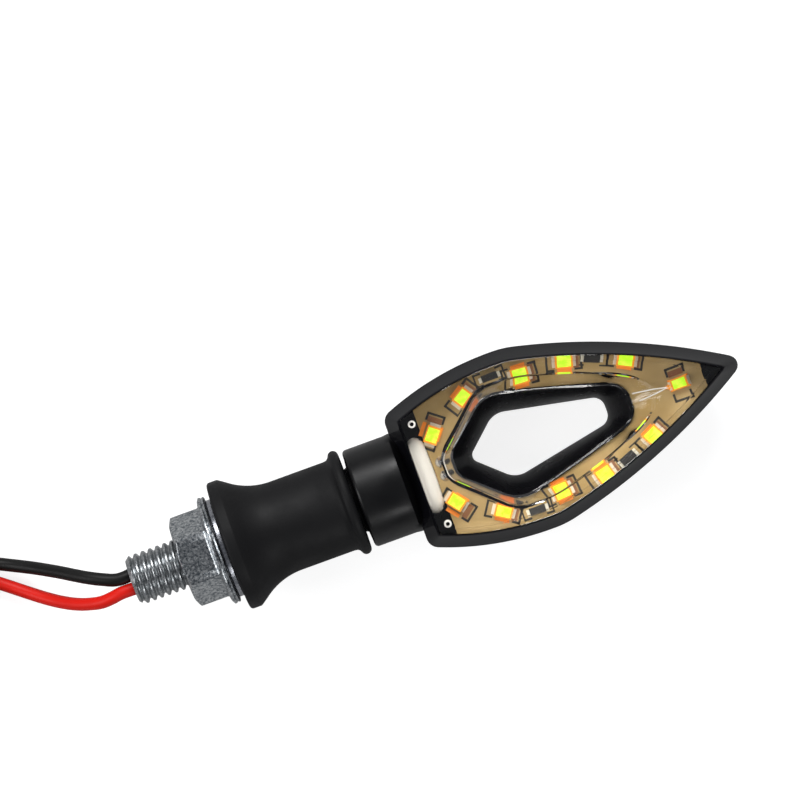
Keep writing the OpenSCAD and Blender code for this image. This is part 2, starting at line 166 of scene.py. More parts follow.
def grain_group():
    """Fine moulded or extruded grain: a mottled colour, an uneven gloss and a shallow bump."""
    group = bpy.data.node_groups.new("fine_grain", "ShaderNodeTree")
    face = group.interface
    face.new_socket("Color A", in_out="INPUT", socket_type="NodeSocketColor")
    face.new_socket("Color B", in_out="INPUT", socket_type="NodeSocketColor")
    for name in ("Rough Low", "Rough High", "Grain Size", "Depth"):
        face.new_socket(name, in_out="INPUT", socket_type="NodeSocketFloat")
    face.new_socket("Color", in_out="OUTPUT", socket_type="NodeSocketColor")
    face.new_socket("Roughness", in_out="OUTPUT", socket_type="NodeSocketFloat")
    face.new_socket("Normal", in_out="OUTPUT", socket_type="NodeSocketVector")
    nodes, links = group.nodes, group.links
    source, sink = nodes.new("NodeGroupInput"), nodes.new("NodeGroupOutput")
    place = nodes.new("ShaderNodeTexCoord")
    scale = nodes.new("ShaderNodeMath")
    scale.operation = "DIVIDE"
    scale.inputs[0].default_value = 1
    links.new(source.outputs["Grain Size"], scale.inputs[1])
    fine = nodes.new("ShaderNodeTexNoise")
    fine.inputs["Detail"].default_value = 4
    links.new(place.outputs["Object"], fine.inputs["Vector"])
    links.new(scale.outputs[0], fine.inputs["Scale"])
    broad = nodes.new("ShaderNodeTexNoise")
    broad.inputs["Scale"].default_value = 160
    broad.inputs["Detail"].default_value = 3
    links.new(place.outputs["Object"], broad.inputs["Vector"])
    blend = nodes.new("ShaderNodeMix")
    blend.data_type = "RGBA"
    links.new(broad.outputs["Fac"], blend.inputs["Factor"])
    links.new(source.outputs["Color A"], blend.inputs["A"])
    links.new(source.outputs["Color B"], blend.inputs["B"])
    gloss = nodes.new("ShaderNodeMapRange")
    gloss.inputs["From Min"].default_value = 0.3
    gloss.inputs["From Max"].default_value = 0.7
    links.new(broad.outputs["Fac"], gloss.inputs["Value"])
    links.new(source.outputs["Rough Low"], gloss.inputs["To Min"])
    links.new(source.outputs["Rough High"], gloss.inputs["To Max"])
    bump = nodes.new("ShaderNodeBump")
    bump.inputs["Distance"].default_value = 0.05 * MM
    links.new(source.outputs["Depth"], bump.inputs["Strength"])
    links.new(fine.outputs["Fac"], bump.inputs["Height"])
    links.new(blend.outputs["Result"], sink.inputs["Color"])
    links.new(gloss.outputs["Result"], sink.inputs["Roughness"])
    links.new(bump.outputs["Normal"], sink.inputs["Normal"])
    return group


FINE_GRAIN = grain_group()


def grained(name, color_a, color_b, rough, size, depth, **plain):
    """A Principled material that takes its colour, roughness and normal from the fine grain."""
    mat, tree, shader = new_material(name)
    node = tree.nodes.new("ShaderNodeGroup")
    node.node_tree = FINE_GRAIN
    node.inputs["Color A"].default_value = (*color_a, 1)
    node.inputs["Color B"].default_value = (*color_b, 1)
    node.inputs["Rough Low"].default_value = rough[0]
    node.inputs["Rough High"].default_value = rough[1]
    node.inputs["Grain Size"].default_value = size
    node.inputs["Depth"].default_value = depth
    tree.links.new(node.outputs["Color"], shader.inputs["Base Color"])
    tree.links.new(node.outputs["Roughness"], shader.inputs["Roughness"])
    tree.links.new(node.outputs["Normal"], shader.inputs["Normal"])
    for socket, value in plain.items():
        shader.inputs[socket.replace("_", " ")].default_value = value
    return mat


red_vinyl = grained("red_vinyl", (0.8, 0.012, 0.004), (0.66, 0.008, 0.003), (0.4, 0.52), 0.4 * MM, 0.15,
    Specular_IOR_Level=0.25)
black_vinyl = grained("black_vinyl", (0.006, 0.0055, 0.005), (0.003, 0.003, 0.003), (0.4, 0.55),
    0.4 * MM, 0.15, Specular_IOR_Level=0.25)

# The same points as the solid tubes, in millimetres.
lead_y, lay_z, coil_z = LEAD_Y / MM, LAY_Z / MM, COIL_Z / MM
coil_x, coil_y = COIL_AT[0] / MM, COIL_AT[1] / MM
RED_ROUTE = [(STUD_END / MM, -lead_y, 0), (-23, -lead_y, 0), (-27, -1.8, -1.2), (-32, -0.6, -4.6),
    (-37, 2, -8.6), (-42, 5.6, -11), (-47, 9.4, lay_z), (-53, 13.2, lay_z), (-60, 15.9, coil_z),
    (coil_x + 0.1, coil_y + RED_R / MM, coil_z)]
BLACK_ROUTE = [(STUD_END / MM, lead_y, 0), (-23, lead_y, 0), (-28, 3.6, -1.2), (-33, 6.4, -4.6),
    (-38, 9, -8.6), (-43, 11.4, -11), (-48, 13.8, lay_z), (-54, 16.6, lay_z), (-60, 18.8, coil_z),
    (coil_x + 0.1, coil_y + BLACK_R / MM, coil_z)]
END_Z = coil_high[2] / MM + 2.3
TURN_RISE = LEAD_D / MM
TURN_STEP = 20
END_CLIMB = 50
RED_END, BLACK_END = 954, 812
BLACK_SPREAD = 1.2


def halved(route):
    """The route with one smooth point added halfway along each stretch."""
    points = [Vector(p) for p in route]
    out = [points[0]]
    for i in range(len(points) - 1):
        a, b, c, d = (points[min(max(k, 0), len(points) - 1)] for k in (i - 1, i, i + 1, i + 2))
        out.append((9 * (b + c) - a - d) / 16)
        out.append(c)
    return out


def turns(radius, start, end, end_radius):
    """Points of the stacked turns, from start to end degrees, rising to the terminal at the end."""
    points = []
    steps = int((end - start) / TURN_STEP)
    for i in range(1, steps + 1):
        angle = start + (end - start) * i / steps
        last = max(0, 1 - (end - angle) / END_CLIMB)
        ease = last * last * (3 - 2 * last)
        r = radius / MM + (end_radius - radius / MM) * ease
        z = coil_z + TURN_RISE * (angle - start) / 360
        points.append(Vector((coil_x + r * math.cos(math.radians(angle)),
            coil_y + r * math.sin(math.radians(angle)), z + (END_Z - z) * ease)))
    return points


def lead_curve(name, points, mat):
    """A round lead as one open spline through points in millimetres."""
    curve = bpy.data.curves.new(name, "CURVE")
    curve.dimensions = "3D"
    curve.bevel_depth = LEAD_D / 2
    curve.bevel_resolution = 5
    curve.resolution_u = 6
    curve.use_fill_caps = True
    spline = curve.splines.new("BEZIER")
    spline.bezier_points.add(len(points) - 1)
    for point, place in zip(spline.bezier_points, points):
        point.co = place * MM
        point.handle_left_type = point.handle_right_type = "AUTO"
    curve.materials.append(mat)
    lead = bpy.data.objects.new(name, curve)
    bpy.context.collection.objects.link(lead)
    return lead


RED_LENGTH = 0.246
BLACK_LENGTH = 0.248
red = lead_curve("red_lead_cord", halved(RED_ROUTE) + turns(RED_R, 90, RED_END, RED_R / MM), red_vinyl)
black = lead_curve("black_lead_cord",
    halved(BLACK_ROUTE) + turns(BLACK_R, 90, BLACK_END, BLACK_R / MM + BLACK_SPREAD), black_vinyl)
for lead, color, length, side in ((red, "red", RED_LENGTH, -1), (black, "black", BLACK_LENGTH, 1)):
    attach(lead, "mount")
    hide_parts(f"{color}_lead", f"{color}_coil")

# ---- Terminals and tie -------------------------------------------------------------------
# Brass bullets crimped on the leads under cloudy vinyl sleeves, and a nylon band round the coil.

cloudy_vinyl = grained("cloudy_vinyl", (0.72, 0.71, 0.66), (0.6, 0.59, 0.55), (0.25, 0.4), 0.6 * MM, 0.2)
bright_brass = grained("bright_brass", (0.82, 0.6, 0.26), (0.68, 0.46, 0.18), (0.22, 0.38), 0.3 * MM, 0.3,
    Metallic=1.0)
white_nylon = grained("white_nylon", (0.8, 0.8, 0.76), (0.7, 0.7, 0.66), (0.35, 0.5), 0.4 * MM, 0.2)


def finish_node(node, mat):
    """Gives a carried-over solid its own material."""
    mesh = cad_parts[node].data
    mesh.materials.clear()
    mesh.materials.append(mat)


for color in ("red", "black"):
    finish_node(f"{color}_sleeve", cloudy_vinyl)
    finish_node(f"{color}_bullet", bright_brass)
finish_node("coil_tie", white_nylon)

# ---- Hollow stud -------------------------------------------------------------------------
# A steel stud with a rolled M10 thread and a cable bore, turned, zinc plated, its inner end
# and anchor disc moulded into the rubber stalk.

THREAD_PITCH = 1.5 * MM
THREAD_DEPTH = 0.72 * MM
STUD_R = 5.0 * MM
BORE_R = 3.1 * MM
STUD_INSIDE = 8 * MM
END_CHAMFER = 0.75 * MM
CHAMFER_RUN = 0.9 * MM


def zinc_group():
    """Bright zinc plating: pale and dark crystals, fine pits and an uneven shine."""
    group = bpy.data.node_groups.new("zinc_plating", "ShaderNodeTree")
    face = group.interface
    for name in ("Light", "Dark"):
        face.new_socket(name, in_out="INPUT", socket_type="NodeSocketColor")
    face.new_socket("Pit Depth", in_out="INPUT", socket_type="NodeSocketFloat")
    face.new_socket("Color", in_out="OUTPUT", socket_type="NodeSocketColor")
    face.new_socket("Roughness", in_out="OUTPUT", socket_type="NodeSocketFloat")
    face.new_socket("Normal", in_out="OUTPUT", socket_type="NodeSocketVector")
    nodes, links = group.nodes, group.links
    source, sink = nodes.new("NodeGroupInput"), nodes.new("NodeGroupOutput")
    place = nodes.new("ShaderNodeTexCoord")
    crystals = nodes.new("ShaderNodeTexVoronoi")
    crystals.inputs["Scale"].default_value = 3200
    pits = nodes.new("ShaderNodeTexNoise")
    pits.inputs["Scale"].default_value = 1900
    pits.inputs["Detail"].default_value = 5
    pits.inputs["Roughness"].default_value = 0.65
    for texture in (crystals, pits):
        links.new(place.outputs["Object"], texture.inputs["Vector"])
    contrast = nodes.new("ShaderNodeMapRange")
    contrast.inputs["From Min"].default_value = 0.4
    contrast.inputs["From Max"].default_value = 0.62
    links.new(pits.outputs["Fac"], contrast.inputs["Value"])
    blend = nodes.new("ShaderNodeMix")
    blend.data_type = "RGBA"
    links.new(contrast.outputs["Result"], blend.inputs["Factor"])
    links.new(source.outputs["Dark"], blend.inputs["A"])
    links.new(source.outputs["Light"], blend.inputs["B"])
    shine = nodes.new("ShaderNodeMapRange")
    shine.inputs["To Min"].default_value = 0.2
    shine.inputs["To Max"].default_value = 0.42
    links.new(crystals.outputs["Distance"], shine.inputs["Value"])
    bump = nodes.new("ShaderNodeBump")
    bump.inputs["Distance"].default_value = 0.03 * MM
    links.new(source.outputs["Pit Depth"], bump.inputs["Strength"])
    links.new(pits.outputs["Fac"], bump.inputs["Height"])
    links.new(blend.outputs["Result"], sink.inputs["Color"])
    links.new(shine.outputs["Result"], sink.inputs["Roughness"])
    links.new(bump.outputs["Normal"], sink.inputs["Normal"])
    return group


ZINC_PLATING = zinc_group()


def plated(name, light, dark, pit_depth):
    """A Principled metal that takes its colour, roughness and normal from the zinc plating."""
    mat, tree, shader = new_material(name)
    node = tree.nodes.new("ShaderNodeGroup")
    node.node_tree = ZINC_PLATING
    node.inputs["Light"].default_value = (*light, 1)
    node.inputs["Dark"].default_value = (*dark, 1)
    node.inputs["Pit Depth"].default_value = pit_depth
    for output, socket in (("Color", "Base Color"), ("Roughness", "Roughness"), ("Normal", "Normal")):
        tree.links.new(node.outputs[output], shader.inputs[socket])
    shader.inputs["Metallic"].default_value = 1
    return mat


stud_zinc = plated("stud_zinc", (0.5, 0.51, 0.52), (0.24, 0.26, 0.27), 0.4)


def ring_faces(count, around, closed=False):
    """Quads between rings of equal length; closed joins the last ring to the first."""
    faces = []
    for i in range(count if closed else count - 1):
        a, b = i * around, (i + 1) % count * around
        for k in range(around):
            n = (k + 1) % around
            faces.append((a + k, a + n, b + n, b + k))
    return faces


def threaded_stud():
    """The stud's outside as one helical thread, chamfered at its free end, and its cable bore."""
    around = 72
    run = 0.1 * MM
    start, end = STUD_END, STUD_INSIDE
    verts = []
    rings = int((end - start) / run) + 1
    for i in range(rings):
        x = start + i * run
        taper = min(1.0, (x - start) / CHAMFER_RUN)
        for k in range(around):
            share = k / around
            phase = ((x - start) / THREAD_PITCH + share) % 1
            ridge = min(1.0, max(0.0, 1.25 - 2.6 * abs(phase - 0.5)))
            ridge = ridge * ridge * (3 - 2 * ridge)
            r = min(STUD_R - THREAD_DEPTH * (1 - ridge), STUD_R - END_CHAMFER * (1 - taper))
            verts.append((x, r * math.cos(math.tau * share), r * math.sin(math.tau * share)))
    for x in (end, start):
        for k in range(around):
            angle = math.tau * k / around
            verts.append((x, BORE_R * math.cos(angle), BORE_R * math.sin(angle)))
    return verts, ring_faces(rings + 2, around, closed=True)


stud = mesh_piece("threaded_stud", *threaded_stud(), stud_zinc, smooth=50)
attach(stud, "mount")
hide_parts("hollow_stud")

# ---- Washer ------------------------------------------------------------------------------
# A punched steel washer with rolled edges, zinc plated and darker than the nut. It lies loose
# on the stud between the nut and the rubber foot.


def lathed(profile, around=96):
    """A closed ring of revolution about X, from a closed outline of (x, radius) in metres."""
    verts = [(x, r * math.cos(math.tau * k / around), r * math.sin(math.tau * k / around))
        for x, r in profile for k in range(around)]
    return verts, ring_faces(len(profile), around, closed=True)


def arc(center, radius, start, end, steps=5):
    """Points along an arc from start to end degrees, as (x, radius)."""
    return [(center[0] + radius * math.cos(math.radians(start + (end - start) * i / steps)),
        center[1] + radius * math.sin(math.radians(start + (end - start) * i / steps)))
        for i in range(steps + 1)]


washer_low, washer_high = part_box("flat_washer")
WASHER_R = washer_high[1]
WASHER_BORE_R = 5.25 * MM
washer_zinc = plated("washer_zinc", (0.42, 0.43, 0.46), (0.26, 0.27, 0.3), 0.3)

edge = 0.35 * MM
washer_profile = ([(washer_low[0], WASHER_BORE_R)]
    + arc((washer_low[0] + edge, WASHER_R - edge), edge, 180, 90)
    + arc((washer_high[0] - edge, WASHER_R - edge), edge, 90, 0)
    + [(washer_high[0], WASHER_BORE_R)])
washer = mesh_piece("steel_washer", *lathed(washer_profile), washer_zinc, smooth=50)
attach(washer, "washer")
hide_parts("flat_washer")

# ---- Flange nut --------------------------------------------------------------------------
# A forged steel flange nut, zinc plated. Its flats keep the coarse crystals of the plating, its
# corners are turned off at the free end, and it clamps the lamp to a bracket.

nut_low, nut_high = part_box("flange_nut")
NUT_FLANGE_R = nut_high[1]
NUT_FLANGE_T = 1.6 * MM
NUT_FLAT = 8.0 * MM
NUT_CORNER = 1.145
NUT_BORE_R = 5.05 * MM
nut_zinc = plated("nut_zinc", (0.62, 0.64, 0.65), (0.14, 0.16, 0.18), 1.0)


def hexagon(angle):
    """How far the flats of a hexagon lie out at an angle, as a share of the distance to a flat."""
    return 1 / math.cos(angle % (math.pi / 3) - math.pi / 6)


def nut_mesh():
    """The nut's section swept round the stud: bore, chamfered end, flats, flange and seat."""
    around = 180
    face_x, seat_x = nut_low[0], nut_high[0]
    flange_x = seat_x - NUT_FLANGE_T
    rows = []
    for i in range(around):
        angle = math.tau * i / around
        corner = NUT_FLAT * min(hexagon(angle), NUT_CORNER)
        chamfer_x = face_x + max((corner - NUT_FLAT * 0.985) * 0.5, 0.1 * MM)
        row = [(face_x + 0.5 * MM, NUT_BORE_R), (face_x, NUT_BORE_R + 0.5 * MM), (face_x, NUT_FLAT * 0.93)]
        row += [(face_x + 0.02 * MM, NUT_FLAT * 0.97)]
        row += [(chamfer_x, corner - 0.12 * MM), (chamfer_x + 0.15 * MM, corner)]
        row += [(flange_x - 0.5 * MM, corner), (flange_x - 0.25 * MM, corner + 0.12 * MM)]
        row += [(flange_x - 0.1 * MM, 9.75 * MM), (flange_x + 0.05 * MM, NUT_FLANGE_R - 0.6 * MM)]
        row += arc((flange_x + 0.55 * MM, NUT_FLANGE_R - 0.45 * MM), 0.45 * MM, 110, 20, 4)
        row += arc((seat_x - 0.4 * MM, NUT_FLANGE_R - 0.4 * MM), 0.4 * MM, 60, 0, 4)
        row += [(seat_x, NUT_FLANGE_R - 0.6 * MM), (seat_x, NUT_BORE_R + 0.4 * MM),
            (seat_x - 0.4 * MM, NUT_BORE_R)]
        rows.append([(x, r * math.cos(angle), r * math.sin(angle)) for x, r in row])
    verts = [rows[k][j] for j in range(len(rows[0])) for k in range(around)]
    return verts, ring_faces(len(rows[0]), around, closed=True)


nut = mesh_piece("flange_nut_forged", *nut_mesh(), nut_zinc, smooth=24)
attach(nut, "nut")
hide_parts("flange_nut")

# ---- Rubber stalk ------------------------------------------------------------------------
# One moulding of black rubber round the stud: a flared foot, a slim middle and a bead where it
# grips the head's spigot. It is the part that bends.

stalk_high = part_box("rubber_stalk")[1]
FOOT_R = stalk_high[1]
FOOT_RIM = 2.6 * MM
FLARE_END = 12 * MM
WAIST_R = 9.2 * MM
BEAD_R = 10.7 * MM
STALK_END = stalk_high[0]
STALK_BORE_R = 3.2 * MM
STUD_SOCKET_R = 5.05 * MM
SPIGOT_SOCKET_R = 6.55 * MM
SPIGOT_X = 18.8 * MM
stalk_rubber = grained("stalk_rubber", (0.005, 0.005, 0.0056), (0.003, 0.003, 0.0036),
    (0.52, 0.68), 0.25 * MM, 0.35, Specular_IOR_Level=0.22)


def stalk_profile():
    """The stalk's closed section: foot, arc of the flare, waist, bead, spigot socket and bore."""
    drop, reach = FOOT_R - WAIST_R, FLARE_END - FOOT_RIM
    big = (reach * reach + drop * drop) / (2 * drop)
    top = math.asin(reach / big)
    points = [(0, STUD_SOCKET_R), (0, 9 * MM), (0, FOOT_R - 0.7 * MM)]
    points += arc((0.6 * MM, FOOT_R - 0.6 * MM), 0.6 * MM, 170, 90, 4)
    points += arc((FOOT_RIM - 0.5 * MM, FOOT_R - 0.5 * MM), 0.5 * MM, 90, 55, 3)
    for i in range(2, 15):
        angle = top * (1 - i / 14)
        points.append((FLARE_END - big * math.sin(angle), WAIST_R + big * (1 - math.cos(angle))))
    points += [(x * MM, WAIST_R) for x in (14, 16, 18, 20, 22, 23)]
    points += [(23.6 * MM, WAIST_R + 0.08 * MM), (24.0 * MM, WAIST_R + 0.35 * MM)]
    points += arc((STALK_END - 1.05 * MM, BEAD_R - 1.05 * MM), 1.05 * MM, 165, 5, 9)
    points += [(STALK_END, BEAD_R - 1.5 * MM), (STALK_END, SPIGOT_SOCKET_R), (SPIGOT_X, SPIGOT_SOCKET_R)]
    points += [(SPIGOT_X - 0.1 * MM, STALK_BORE_R), (STUD_INSIDE + 0.1 * MM, STALK_BORE_R)]
    points += [(STUD_INSIDE, STUD_SOCKET_R), (4 * MM, STUD_SOCKET_R)]
    return points


stalk = mesh_piece("moulded_stalk", *lathed(stalk_profile(), 128), stalk_rubber, smooth=35)
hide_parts("rubber_stalk")
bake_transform(stalk)

# ---- Leads inside the stalk --------------------------------------------------------------
# The same two leads, running through stud, stalk and collar to the light board.


def straight_lead(side, x_end):
    """A straight round lead with enough rings to bend, from the stud's free end to x_end."""
    around, steps = 20, 60
    verts = []
    for i in range(steps + 1):
        x = STUD_END + (x_end - STUD_END) * i / steps
        for k in range(around):
            angle = math.tau * k / around
            verts.append((x, side * LEAD_Y + LEAD_D / 2 * math.cos(angle), LEAD_D / 2 * math.sin(angle)))
    faces = ring_faces(steps + 1, around)
    faces.append(tuple(range(around)))
    faces.append(tuple(steps * around + k for k in range(around)))
    return verts, faces


for color, side, mat in (("red", -1, red_vinyl), ("black", 1, black_vinyl)):
    inner = mesh_piece(f"{color}_lead_inside", *straight_lead(side, red_box[1][0]), mat)
    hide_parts(f"inner_{color}_lead")
    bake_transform(inner)

# ---- Rear housing ------------------------------------------------------------------------
# The bottom shell of the head: black ABS, injection moulded and glossy. The triangular hole goes
# right through it, narrowest halfway down.

SPLIT_Z = 4 * MM
FACE_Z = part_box("lens")[1][2]
BACK_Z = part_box("rear_housing")[0][2]
HEAD_OUTLINE = [(37, 13.5, 2.5), (49.71, 18.3, 60), (63.62, 18.3, 20), (86.91, 12.74, 130), (107.6, 0, 2)]
HOLE_WAIST = [(50.3, 0, 1.5), (57.76, 6.8, 4.5), (79, 2.58, 2.4)]
HOLE_RIM = [(47.3, 2.2, 3), (56.9, 10.7, 6), (82.8, 3.68, 3.5)]
HOLE_FACE = [(45.2, 2, 3), (56.04, 12.2, 7), (63.79, 12.4, 20), (80.44, 7.6, 60), (91.8, 0, 0.4)]
HOLE_BACK = [(44.5, 0, 1.5), (56.04, 8.8, 6), (80.5, 3.38, 3)]
RING = 480
WALL = 1.9
HOLE_WALL = 1.2
WAIST_Z = -6 * MM
BACK_DRAW = 6.4
BACK_STOPS = [(SPLIT_Z, 0), (-2 * MM, -0.3), (-10.7 * MM, -0.72 * BACK_DRAW), (BACK_Z, -BACK_DRAW)]
housing_plastic = grained("housing_plastic", (0.0045, 0.0045, 0.0055), (0.003, 0.003, 0.004),
    (0.2, 0.3), 0.5 * MM, 0.08, Specular_IOR_Level=0.35)


def mirrored(corners):
    """The whole outline from its upper half: points on the axis are used once."""
    lower = [(x, -y, r) for x, y, r in reversed(corners) if y > 0.01]
    return corners + lower


def rounded(corners):
    """A dense closed outline in millimetres, with each corner rounded to its radius."""
    count = len(corners)
    cuts = []
    for i in range(count):
        here, before, after = (Vector(corners[j % count][:2]) for j in (i, i - 1, i + 1))
        half = (before - here).angle(after - here) / 2
        cuts.append(corners[i][2] / math.tan(half) if half < 1.57 else 0)
    out = []
    for i in range(count):
        here, before, after = (Vector(corners[j % count][:2]) for j in (i, i - 1, i + 1))
        to_a, to_b = before - here, after - here
        room_a = to_a.length / (cuts[i] + cuts[i - 1])
        room_b = to_b.length / (cuts[i] + cuts[(i + 1) % count])
        share = min(1, room_a, room_b)
        cut = cuts[i] * share * 0.999
        half = to_a.angle(to_b) / 2
        radius = cut * math.tan(half)
        center = here + (to_a.normalized() + to_b.normalized()).normalized() * radius / math.sin(half)
        start = here + to_a.normalized() * cut - center
        sweep = start.angle_signed(here + to_b.normalized() * cut - center)
        for k in range(25):
            angle = -sweep * k / 24
            out.append(center + Vector((start.x * math.cos(angle) - start.y * math.sin(angle),
                start.x * math.sin(angle) + start.y * math.cos(angle))))
    return out


def resampled(outline, about, count=RING):
    """The outline at equal angles about a point, so that rings of different shape line up."""
    out = []
    n = len(outline)
    for k in range(count):
        angle = math.tau * k / count
        ray = Vector((math.cos(angle), math.sin(angle)))
        best = 0
        for i in range(n):
            a, b = outline[i] - about, outline[(i + 1) % n] - about
            side_a, side_b = ray.cross(a), ray.cross(b)
            if (side_a <= 0) != (side_b <= 0):
                t = side_a / (side_a - side_b)
                best = max(best, (a + (b - a) * t).dot(ray))
        out.append(about + ray * best)
    return out


def moved(corners, distance):
    """The corners after every edge moves out by a distance; inward when negative."""
    n = len(corners)
    out = []
    for i in range(n):
        before, here, after = (Vector(corners[j % n][:2]) for j in (i - 1, i, i + 1))
        first, second = (here - before).normalized(), (after - here).normalized()
        out_a, out_b = Vector((-first.y, first.x)), Vector((-second.y, second.x))
        push = (out_a + out_b) / (1 + out_a.dot(out_b)) * distance
        convex = first.cross(second) < 0
        radius = max(0.3, corners[i][2] + (distance if convex else -distance))
        out.append((here.x + push.x, here.y + push.y, radius))
    return out


CENTER = Vector((62, 0))
SHRINK = -0.02
rings_made = {}


def ring(corners, distance=0):
    """A resampled outline of these corners, moved out by a distance in millimetres."""
    key = (tuple(corners), round(distance, 4))
    if key not in rings_made:
        rings_made[key] = resampled(rounded(moved(mirrored(corners), distance + SHRINK)), CENTER)
    return rings_made[key]


def mixed(a, b, share):
    """The outline that lies a share of the way from a to b."""
    return [p + (q - p) * share for p, q in zip(a, b)]


def loft(rings, closed=True):
    """Verts and faces through rings of (outline in millimetres, z in metres)."""
    verts = [(p.x * MM, p.y * MM, z) for outline, z in rings for p in outline]
    return verts, ring_faces(len(rings), RING, closed=closed)


def back_inset(z):
    """How far the outside of the shell draws in at a height, in millimetres."""
    for (z0, d0), (z1, d1) in zip(BACK_STOPS, BACK_STOPS[1:]):
        if z >= z1 - 1e-9:
            return d0 + (d1 - d0) * (z0 - z) / (z0 - z1)
    return -BACK_DRAW


def shell_rings():
    """The shell's section all the way round: rim, outside, back, hole, inside of the hole, floor."""
    rim_in = ring(HEAD_OUTLINE, -WALL)
    rings = [(rim_in, SPLIT_Z - 0.8 * MM), (rim_in, SPLIT_Z - 0.02 * MM),
        (ring(HEAD_OUTLINE, -0.15), SPLIT_Z), (ring(HEAD_OUTLINE, 0), SPLIT_Z - 0.15 * MM)]
    for i in range(1, 13):
        z = SPLIT_Z + (BACK_Z + 0.05 * MM - SPLIT_Z) * i / 12
        rings.append((ring(HEAD_OUTLINE, back_inset(z)), z))
    rings.append((ring(HEAD_OUTLINE, -BACK_DRAW - 0.35), BACK_Z))
    rings.append((ring(HOLE_BACK), BACK_Z))
    for i in range(1, 7):
        z = BACK_Z + (WAIST_Z - BACK_Z) * i / 6
        share = math.sin(i / 6 * math.pi / 2)
        rings.append((mixed(ring(HOLE_BACK), ring(HOLE_WAIST), share), z))
    for i in range(1, 9):
        z = WAIST_Z + (SPLIT_Z - WAIST_Z) * i / 8
        share = 1 - math.cos(i / 8 * math.pi / 2)
        rings.append((mixed(ring(HOLE_WAIST), ring(HOLE_RIM), share), z))
    hole_in = ring(HOLE_RIM, HOLE_WALL)
    waist_in = ring(HOLE_WAIST, HOLE_WALL)
    rings += [(hole_in, SPLIT_Z), (hole_in, SPLIT_Z - 1.0 * MM), (waist_in, WAIST_Z)]
    floor_z = BACK_Z + WALL * MM
    floor_in = ring(HEAD_OUTLINE, back_inset(floor_z) - WALL)
    rings += [(mixed(waist_in, floor_in, 0.05), floor_z), (floor_in, floor_z)]
    rings.append((ring(HEAD_OUTLINE, BACK_STOPS[1][1] - WALL), BACK_STOPS[1][0]))
    return rings


shell = mesh_piece("housing_shell", *loft(shell_rings()), housing_plastic, smooth=32)
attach(shell, "head")
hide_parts("rear_housing")

# ---- Collar and spigot -------------------------------------------------------------------
# The round end of the same moulding, a little duller. The rubber bead is stretched over the
# spigot and stops short of the collar by a narrow groove.

COLLAR_R = 10 * MM
collar_profile = ([(18.85 * MM, 3.3 * MM), (18.85 * MM, 6.1 * MM)]
    + arc((19.25 * MM, 6.1 * MM), 0.4 * MM, 180, 90, 3)
    + [(26.5 * MM, 6.5 * MM), (26.9 * MM, 6.7 * MM), (27.1 * MM, 8.8 * MM)]
    + arc((27.9 * MM, COLLAR_R - 0.8 * MM), 0.8 * MM, 180, 90, 4)
    + [(35.6 * MM, COLLAR_R), (36.6 * MM, COLLAR_R + 0.12 * MM), (38.6 * MM, COLLAR_R + 0.12 * MM),
        (38.6 * MM, 3.3 * MM)])
collar_plastic = grained("collar_plastic", (0.0036, 0.0036, 0.004), (0.0024, 0.0024, 0.0028),
    (0.28, 0.42), 0.4 * MM, 0.12, Specular_IOR_Level=0.3)
collar_verts, collar_faces = lathed(collar_profile, 128)
HEAD_START = 37.05 * MM
collar_top = SPLIT_Z - 0.05 * MM
collar_verts = [(x, y, min(z, collar_top) if x > HEAD_START else z) for x, y, z in collar_verts]
collar = mesh_piece("housing_collar", collar_verts, collar_faces, collar_plastic, smooth=35)
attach(collar, "head")
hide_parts("rear_housing")

# ---- Light board -------------------------------------------------------------------------
# A glass epoxy laminate, routed round the hole and left its own amber colour. It is bonded in
# at the stem end and carries the LED strip's parts.

board_mat, tree, shader = new_material("board_laminate")
place = tree.nodes.new("ShaderNodeTexCoord")
weave = tree.nodes.new("ShaderNodeTexNoise")
weave.inputs["Scale"].default_value = 90
weave.inputs["Detail"].default_value = 6
tree.links.new(place.outputs["Object"], weave.inputs["Vector"])
tint = tree.nodes.new("ShaderNodeValToRGB")
tint.color_ramp.elements[0].position = 0.35
tint.color_ramp.elements[0].color = (0.33, 0.215, 0.07, 1)
tint.color_ramp.elements[1].position = 0.68
tint.color_ramp.elements[1].color = (0.47, 0.33, 0.14, 1)
tree.links.new(weave.outputs["Fac"], tint.inputs["Fac"])
tree.links.new(tint.outputs["Color"], shader.inputs["Base Color"])
shader.inputs["Roughness"].default_value = 0.45
finish_node("circuit_board", board_mat)

# ---- Printed brackets --------------------------------------------------------------------
# Black screen-printed outlines, open in the middle, round the ends of each LED and each chip.

LENGTH = 70.6
LED_PLACES = [(0.113, 0.49, 52), (0.227, 0.45, 33), (0.397, 0.4, -4), (0.524, 0.72, -14),
    (0.686, 0.84, -27)]
TIP_LED = 0.804
INNER_MARGIN, OUTER_MARGIN = 1.4, 2.2
CHIP_PLACES = [(0.316, 0.5, 2), (0.6, 0.78, -22)]
STEM_X = 37
rim_dense, head_dense = rounded(mirrored(HOLE_RIM)), rounded(mirrored(HEAD_OUTLINE))


def half_width(outline, x):
    """How far an outline reaches from the axis at x, in millimetres."""
    best = 0
    for i in range(len(outline)):
        a, b = outline[i - 1], outline[i]
        if (a.x <= x) != (b.x <= x):
            best = max(best, abs(a.y + (b.y - a.y) * (x - a.x) / (b.x - a.x)))
    return best


def on_board(spot):
    """Where a part lies in millimetres, from its share along and across the board."""
    x = STEM_X + spot[0] * LENGTH
    inner, outer = half_width(rim_dense, x) + INNER_MARGIN, half_width(head_dense, x) - OUTER_MARGIN
    return x, inner + (outer - inner) * spot[1], spot[2]


def both_sides(spots):
    """Each place and its mirror image."""
    out = []
    for spot in spots:
        x, y, turn = on_board(spot)
        out += [(x, y, turn), (x, -y, -turn)]
    return out


